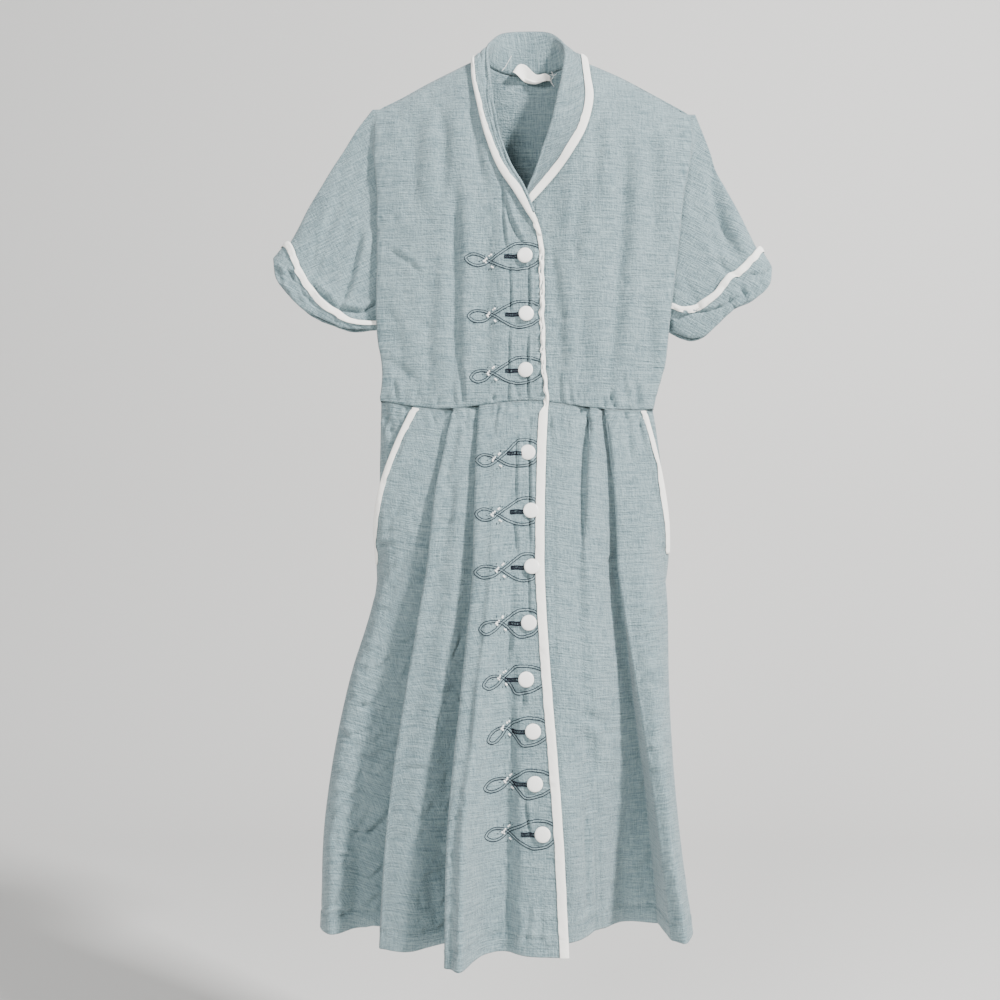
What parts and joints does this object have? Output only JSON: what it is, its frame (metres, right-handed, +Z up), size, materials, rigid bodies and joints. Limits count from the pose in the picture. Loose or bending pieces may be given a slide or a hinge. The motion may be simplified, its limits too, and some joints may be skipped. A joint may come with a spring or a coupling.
{
  "type": "shirtwaist dress",
  "caption": "Shirtwaist dress with a shawl collar, short sleeves with turned-up cuffs, a pleated skirt and white bound edges, hanging flat from its shoulders.",
  "frame": {"origin": "midway between the shoulder ends, level with the neck point and in the plane of the shoulder seams", "axes": "+X towards the wearer's left, +Y towards the back, +Z up"},
  "size_m": [0.6471, 0.2402, 1.1638],
  "materials": {
    "linen": "dusty grey-teal slubbed cloth with a linen look and a fine crinkle",
    "white_binding": "off-white plain cotton",
    "button_white": "white, slightly domed, no holes"
  },
  "bodies": {
    "root": {"bodice_front_right": "linen", "bodice_front_left": "linen", "bodice_back": "linen", "skirt_front_right": "linen", "skirt_front_left": "linen", "skirt_back": "linen", "hip_piece_right": "linen", "hip_piece_left": "linen", "collar": "linen", "cuff_right": "linen", "cuff_left": "linen", "binding_collar": "white_binding", "binding_cuff_right": "white_binding", "binding_cuff_left": "white_binding", "binding_front": "white_binding", "binding_pocket_right": "white_binding", "binding_pocket_left": "white_binding", "label": "white_binding", "button_01": "button_white", "button_02": "button_white", "button_03": "button_white", "button_04": "button_white", "button_05": "button_white", "button_06": "button_white", "button_07": "button_white", "button_08": "button_white", "button_09": "button_white", "button_10": "button_white", "button_11": "button_white"}
  },
  "joints": []
}
